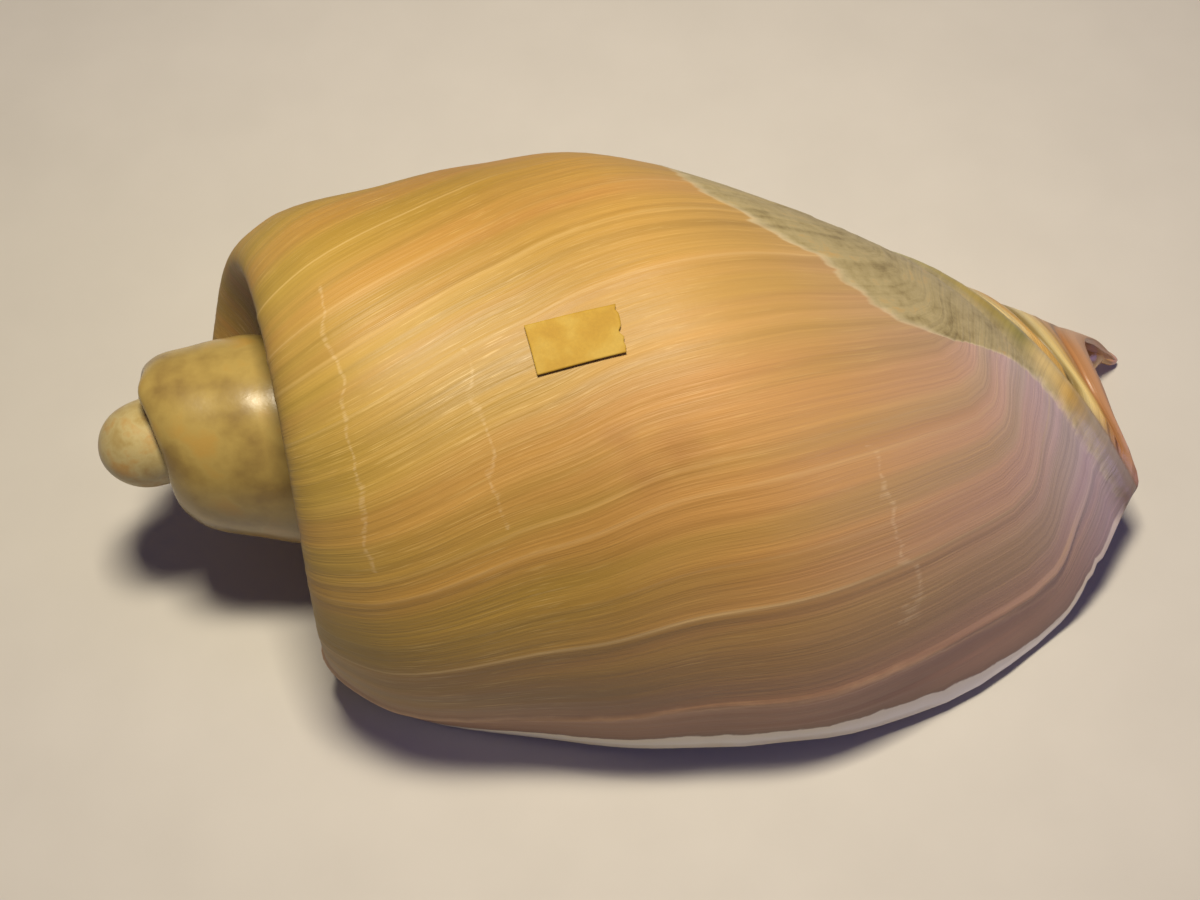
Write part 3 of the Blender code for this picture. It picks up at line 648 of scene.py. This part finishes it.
    # ribs and growth lines follow the former lip edges
    noises = {}
    for name in ("rib", "line"):
        across, length, detail = relief[name]
        along = addNode(tree, "ShaderNodeCombineXYZ", {
            0: addNode(tree, "ShaderNodeMath", {0: time, 1: across}, operation="MULTIPLY"),
            1: addNode(tree, "ShaderNodeMath", {0: station, 1: length}, operation="MULTIPLY")})
        noises[name] = addNode(tree, "ShaderNodeTexNoise", {"Vector": along, "Scale": 1.0, "Detail": detail},
                               noise_dimensions="2D")
    noises["uneven"] = addNode(tree, "ShaderNodeTexNoise", {"Vector": place, "Scale": 0.055, "Detail": 1.0})
    height = glazed
    for name, noise in noises.items():
        raised = addNode(tree, "ShaderNodeMath", {0: noise, 1: relief[name + "Level"]}, operation="SUBTRACT")
        height = addNode(tree, "ShaderNodeMath", {
            0: raised, 1: given[name.capitalize() + " height"], 2: height}, operation="MULTIPLY_ADD")
    singled = addNode(tree, "ShaderNodeMapRange", {0: noises["rib"], 1: 0.3, 2: 0.7, 3: 0.45, 4: 1.15})
    singled = addNode(tree, "ShaderNodeMath", {0: singled, 1: field["ribShare"]}, operation="MULTIPLY")
    height = addNode(tree, "ShaderNodeMath", {0: field["rib"], 1: singled, 2: height}, operation="MULTIPLY_ADD")
    height = addNode(tree, "ShaderNodeMath", {0: height, 1: field["fold"]}, operation="ADD")
    height = addNode(tree, "ShaderNodeMath", {0: field["notch"], 1: field["notchFold"], 2: height},
                     operation="MULTIPLY_ADD")
    scar = addNode(tree, "ShaderNodeCombineXYZ", {
        number: addNode(tree, "ShaderNodeMath", {0: value, 1: steep, 2: -steep * middle}, operation="MULTIPLY_ADD")
        for number, (value, steep, middle) in enumerate(
            zip((angle, station), relief["scarSteepness"], relief["scar"]))})
    scar = addNode(tree, "ShaderNodeVectorMath", {0: scar}, out="Value", operation="LENGTH")
    scar = addNode(tree, "ShaderNodeMapRange", {0: scar, 1: 0.2, 2: 1.3, 3: given["Scar height"], 4: 0.0},
                   interpolation_type="SMOOTHSTEP")
    height = addNode(tree, "ShaderNodeMath", {0: height, 1: scar}, operation="ADD")
    height = addNode(tree, "ShaderNodeMath", {0: height, 1: field["weight"]}, operation="MULTIPLY")
    outside = addNode(tree, "ShaderNodeMath", {0: 1.0, 1: given["Inner side"]}, operation="SUBTRACT")
    height = addNode(tree, "ShaderNodeMath", {0: height, 1: outside}, operation="MULTIPLY")
    height = addNode(tree, "ShaderNodeMath", {0: field["flare"], 1: field["flareShare"], 2: height},
                     operation="MULTIPLY_ADD")

    # depth below the surface: rounded lip edge outside, wall thickness inside, less in a small whorl
    hollow = addNode(tree, "ShaderNodeMath", {0: field["thick"], 1: field["bevel"]}, operation="SUBTRACT")
    depth = addNode(tree, "ShaderNodeMix", {0: given["Inner side"], 2: field["bevel"], 3: hollow}, data_type="FLOAT")
    small = addNode(tree, "ShaderNodeMapRange", {0: size, 1: 0.0, 2: 1.0, 3: 0.4, 4: 1.0})
    depth = addNode(tree, "ShaderNodeMath", {0: depth, 1: small}, operation="MULTIPLY")
    away = addNode(tree, "ShaderNodeMath", {0: height, 1: depth}, operation="SUBTRACT")
    away = addNode(tree, "ShaderNodeMath", {0: away, 1: field["taper"]}, operation="MULTIPLY")
    offset = addNode(tree, "ShaderNodeVectorMath", {0: addNode(tree, "GeometryNodeInputNormal"), "Scale": away},
                     operation="SCALE")
    shape = addNode(tree, "GeometryNodeSetPosition", {"Geometry": shape, "Offset": offset})
    isInner = addNode(tree, "ShaderNodeMath", {0: given["Inner side"], 1: 0.5}, operation="GREATER_THAN")
    shape = addNode(tree, "GeometryNodeFlipFaces", {"Mesh": shape, "Selection": isInner})
    shape = addNode(tree, "GeometryNodeTransform", {
        "Geometry": shape, "Translation": Vector(lying["shift"]) * mm,
        "Rotation": (math.radians(lying["roll"]), math.radians(lying["pitch"]), 0.0), "Scale": (mm, mm, mm)})
    # worn flat where it touches the table
    stand = addNode(tree, "ShaderNodeSeparateXYZ", {0: addNode(tree, "GeometryNodeInputPosition")}, out=None)
    stand = addNode(tree, "ShaderNodeCombineXYZ", {
        0: stand.outputs[0], 1: stand.outputs[1],
        2: addNode(tree, "ShaderNodeMath", {0: stand.outputs[2], 1: 0.0}, operation="MAXIMUM")})
    shape = addNode(tree, "GeometryNodeSetPosition", {"Geometry": shape, "Position": stand})
    shape = addNode(tree, "GeometryNodeSetShadeSmooth", {"Geometry": shape})
    shape = addNode(tree, "GeometryNodeRealizeInstances", {"Geometry": shape})
    shape = addNode(tree, "GeometryNodeSetMaterial", {"Geometry": shape, "Material": given["Material"]})
    addNode(tree, "NodeGroupOutput", {"Geometry": shape}, out=None)
    return tree


def runTree(name, tree, values):
    holder = bpy.data.objects.new(name, bpy.data.meshes.new(name))
    bpy.context.scene.collection.objects.link(holder)
    step = holder.modifiers.new(name, "NODES")
    step.node_group = tree
    for item in tree.interface.items_tree:
        if item.item_type == "SOCKET" and item.in_out == "INPUT" and item.name in values:
            step[item.identifier] = values[item.name]
    graph = bpy.context.evaluated_depsgraph_get()
    mesh = bpy.data.meshes.new_from_object(holder.evaluated_get(graph))
    holder.modifiers.clear()
    holder.data = mesh
    return holder


def joinMeshes(name, parts, weld, material):
    joined = bmesh.new()
    for part in parts:
        joined.from_mesh(part.data)
    bmesh.ops.remove_doubles(joined, verts=joined.verts, dist=weld)
    mesh = bpy.data.meshes.new(name)
    joined.to_mesh(mesh)
    joined.free()
    mesh.materials.append(material)
    mesh.polygons.foreach_set("material_index", np.zeros(len(mesh.polygons), dtype=np.int32))
    mesh.shade_smooth()
    for part in parts:
        bpy.data.objects.remove(part)
    whole = bpy.data.objects.new(name, mesh)
    bpy.context.scene.collection.objects.link(whole)
    return whole


# a piece from points in the shell's own millimetres; closed ones get their faces turned outwards
def meshPiece(name, points, faces, material, closed=True):
    mesh = bpy.data.meshes.new(name)
    mesh.from_pydata([tuple(map(float, p)) for p in points], [], faces)
    mesh.transform(layDown())
    for vertex in mesh.vertices:
        vertex.co.z = max(vertex.co.z, 0.0)
    if closed:
        shape = bmesh.new()
        shape.from_mesh(mesh)
        bmesh.ops.recalc_face_normals(shape, faces=shape.faces)
        shape.to_mesh(mesh)
        shape.free()
    mesh.materials.append(material)
    mesh.shade_smooth()
    piece = bpy.data.objects.new(name, mesh)
    bpy.context.scene.collection.objects.link(piece)
    return piece


def partOf(piece, node):
    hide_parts(node)
    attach(piece, "root")
    print(piece.name, len(piece.data.polygons), "faces")


sectionGuide = makeSectionGuide()
outerGuide = makeGrowthGuide("outerGuide", outerPlan)
innerGuide = makeGrowthGuide("innerGuide", innerPlan)
sweep = buildSweepTree()
outer = runTree("outerFace", sweep, {"Section": sectionGuide, "Growth": outerGuide, "Material": wornAragonite})
inner = runTree("innerFace", sweep, {
    "Section": sectionGuide, "Growth": innerGuide, "Inner side": 1.0, "Material": wornAragonite})
whorls = joinMeshes("shellWhorls", [outer, inner], 0.000002, wornAragonite)
for guide in (sectionGuide, outerGuide, innerGuide):
    bpy.data.objects.remove(guide)
partOf(whorls, "shell")


def tubeFaces(rows, sides):
    faces = [(r * sides + c, r * sides + (c + 1) % sides, (r + 1) * sides + (c + 1) % sides, (r + 1) * sides + c)
             for r in range(rows - 1) for c in range(sides)]
    return faces + [tuple(range(sides)), tuple((rows - 1) * sides + c for c in range(sides))]


# blunt first bud: a round-ended neck that leans to one side, all in mm
bud = {"tip": (-0.38, -2.01, -2.34), "lean": (-0.958, -0.031, -0.284), "round": 5.0, "length": 14.0,
       "radius": 4.3, "widening": 0.035, "dent": 0.10, "rings": 60, "sides": 64}


def makeBud():
    share = np.sin(np.linspace(0.0, 0.5 * math.pi, bud["rings"]))
    front = bud["round"] * (1.0 - np.cos(np.linspace(0.0, 0.5 * math.pi, bud["rings"])))
    back = np.linspace(bud["round"], bud["length"], bud["rings"])[1:]
    depth = np.concatenate([front, back])
    radius = np.concatenate([bud["radius"] * share, bud["radius"] + bud["widening"] * (back - bud["round"])])
    turn = Vector(bud["lean"]).to_track_quat("Z", "Y").to_matrix()
    around = np.linspace(0.0, 2.0 * math.pi, bud["sides"], endpoint=False)
    # the neck is a little out of round and wavy
    waves = np.sin(2 * around + 0.6)[None, :] + 0.6 * np.sin(3 * around + 0.9 * depth[:, None])
    wide = radius[1:, None] * (1.0 + bud["dent"] / bud["radius"] * waves)[1:]
    down = np.broadcast_to(-depth[1:, None], wide.shape)
    local = np.stack([wide * np.cos(around), wide * np.sin(around), down], -1)
    points = np.array(bud["tip"]) + local.reshape(-1, 3) @ np.array(turn).T
    faces, sides = tubeFaces(len(depth) - 1, bud["sides"]), bud["sides"]
    # the first ring closes on the tip
    faces = faces[:-2] + faces[-1:] + [((c + 1) % sides, c, len(points)) for c in range(sides)]
    return meshPiece("shellBud", np.vstack([points, bud["tip"]]), faces, wornBud)


partOf(makeBud(), "shell")


# pillar inside the shell, with two slanting folds and a curled front end
pillar = {
    # mm along the axis, radius, sideways bend
    "rings": ((27.3, 3.3, 0.0), (41.0, 4.6, 0.0), (54.5, 5.0, 0.2), (68.0, 4.7, 0.6), (82.0, 3.9, 1.4),
              (95.5, 3.1, 2.0), (102.0, 2.5, 2.4), (103.2, 2.1, 2.8), (104.2, 1.45, 3.1), (104.8, 0.95, 2.9),
              (105.4, 0.80, 2.6), (106.2, 0.75, 2.3), (106.9, 0.50, 2.1), (107.25, 0.12, 2.1)),
    "bendAngle": -25.0, "foldPlaces": (54.5, 63.0), "foldHeight": 1.0, "foldWidth": 1.8,
    "foldSide": 190.0, "foldSlope": 0.05, "foldSpread": 75.0,       # degrees, mm per degree, degrees
    "steps": 170, "tipFrom": 102.0, "tipSteps": 40, "sides": 64,
}


def makePillar():
    rings = np.array(pillar["rings"])
    along = np.concatenate([np.linspace(rings[0, 0], pillar["tipFrom"], pillar["steps"]),
                            np.linspace(pillar["tipFrom"], rings[-1, 0], pillar["tipSteps"])[1:]])
    around = np.linspace(0.0, 360.0, pillar["sides"], endpoint=False)
    axial, angle = np.meshgrid(along, around, indexing="ij")
    away = (angle - pillar["foldSide"] + 180.0) % 360.0 - 180.0
    radius = np.interp(axial, rings[:, 0], rings[:, 1])
    for place in pillar["foldPlaces"]:
        ridge = np.exp(-((axial - place - pillar["foldSlope"] * away) / pillar["foldWidth"])**2)
        radius = radius + pillar["foldHeight"] * ridge * np.exp(-(away / pillar["foldSpread"])**2)
    bend = np.interp(axial, rings[:, 0], rings[:, 2])
    side = math.radians(pillar["bendAngle"])
    turn = np.radians(angle)
    points = np.stack([axial, -radius * np.sin(turn) - bend * math.sin(side),
                       radius * np.cos(turn) + bend * math.cos(side)], -1)
    return meshPiece("shellPillar", points.reshape(-1, 3), tubeFaces(*axial.shape), polishedPillar)


partOf(makePillar(), "shell")


# blank paper label on the back: corners as degrees round the shell and station, the rest in mm
label = {
    "corners": ((17.1, 0.416), (14.6, 0.532), (23.0, 0.527), (26.0, 0.413)),
    "thickness": 0.14, "curl": 0.06, "cells": (56, 34),
    "torn": 0.028,      # raggedness of the torn end, as a share of the length
}


def makeLabel():
    columns, rows = label["cells"]
    corners = np.array(label["corners"])
    x, y = np.meshgrid(np.linspace(0.0, 1.0, columns), np.linspace(0.0, 1.0, rows))
    # the torn end is ragged, the others are cut
    steps = np.random.default_rng(7).normal(size=rows)
    ragged = np.convolve(np.pad(steps, 2, mode="edge"), (0.15, 0.25, 0.3, 0.25, 0.15), mode="valid")
    x = x * (1.0 + label["torn"] * ragged[:, None] * x**6)
    upper = (1.0 - x)[..., None] * corners[0] + x[..., None] * corners[1]
    lower = (1.0 - x)[..., None] * corners[3] + x[..., None] * corners[2]
    spot = (1.0 - y)[..., None] * upper + y[..., None] * lower
    base = shellPoint(spot[..., 0], spot[..., 1])
    normal = shellNormal(spot[..., 0], spot[..., 1])
    lift = label["curl"] * (x**8 + 0.7 * (1.0 - x)**10 + 0.5 * y**12 * x)
    lower = base + lift[..., None] * normal
    upper = lower + label["thickness"] * normal
    half = rows * columns
    faces = []
    for r in range(rows - 1):
        for c in range(columns - 1):
            corner = r * columns + c
            faces.append((corner, corner + 1, corner + columns + 1, corner + columns))
            faces.append(tuple(half + v for v in reversed(faces[-1])))
    rim = [r * columns for r in range(rows)] + [(rows - 1) * columns + c for c in range(1, columns)]
    rim += [r * columns + columns - 1 for r in range(rows - 2, -1, -1)] + list(range(columns - 2, 0, -1))
    faces += [(one, two, two + half, one + half) for one, two in zip(rim, rim[1:] + rim[:1])]
    points = np.concatenate([upper.reshape(-1, 3), lower.reshape(-1, 3)])
    return meshPiece("blankLabel", points, faces, labelPaper)


partOf(makeLabel(), "paper_label")


floorSize = 3.0
bpy.ops.mesh.primitive_plane_add(size=floorSize, location=(0.0, 0.0, 0.0))
floor = bpy.context.object
floor.name = "floor"
floor.data.materials.append(makeFloorCard())

view = {"place": (-12.21, -66.82, 145.99), "turn": (27.03, 1.91, -9.15), "lens": 44.96}
cameraData = bpy.data.cameras.new("camera")
cameraData.lens = view["lens"]
cameraData.sensor_width = 36.0
cameraData.clip_start = 0.01
camera = bpy.data.objects.new("camera", cameraData)
camera.location = Vector(view["place"]) * mm
camera.rotation_euler = [math.radians(v) for v in view["turn"]]
bpy.context.scene.collection.objects.link(camera)
bpy.context.scene.camera = camera

# a warm lamp almost overhead, a weak cool light from the front end, and a faint lilac room; in metres
lights = {
    "key": {"place": (-0.004, 0.016, 0.225), "size": (0.05, 0.03), "power": 0.55, "colour": "#fff3dc"},
    "side": {"place": (0.50, -0.26, 0.18), "size": (0.25, 0.25), "power": 0.60, "colour": "#bdb6ff"},
}
room = {"colour": "#c4b8e0", "strength": 0.115}
for name, given in lights.items():
    lamp = bpy.data.lights.new(name, "AREA")
    lamp.shape = "RECTANGLE"
    lamp.size, lamp.size_y = given["size"]
    lamp.energy = given["power"]
    lamp.color = linear(given["colour"])[:3]
    lampObject = bpy.data.objects.new(name, lamp)
    lampObject.location = given["place"]
    aim = Vector((0.0, 0.0, 0.02)) - Vector(given["place"])
    lampObject.rotation_euler = aim.to_track_quat("-Z", "Y").to_euler()
    bpy.context.scene.collection.objects.link(lampObject)
world = bpy.data.worlds.new("room")
bpy.context.scene.world = world
world.use_nodes = True
world.node_tree.nodes["Background"].inputs[0].default_value = linear(room["colour"])
world.node_tree.nodes["Background"].inputs[1].default_value = room["strength"]
bpy.context.scene.view_settings.view_transform = "Standard"
print("camera and lights ready")
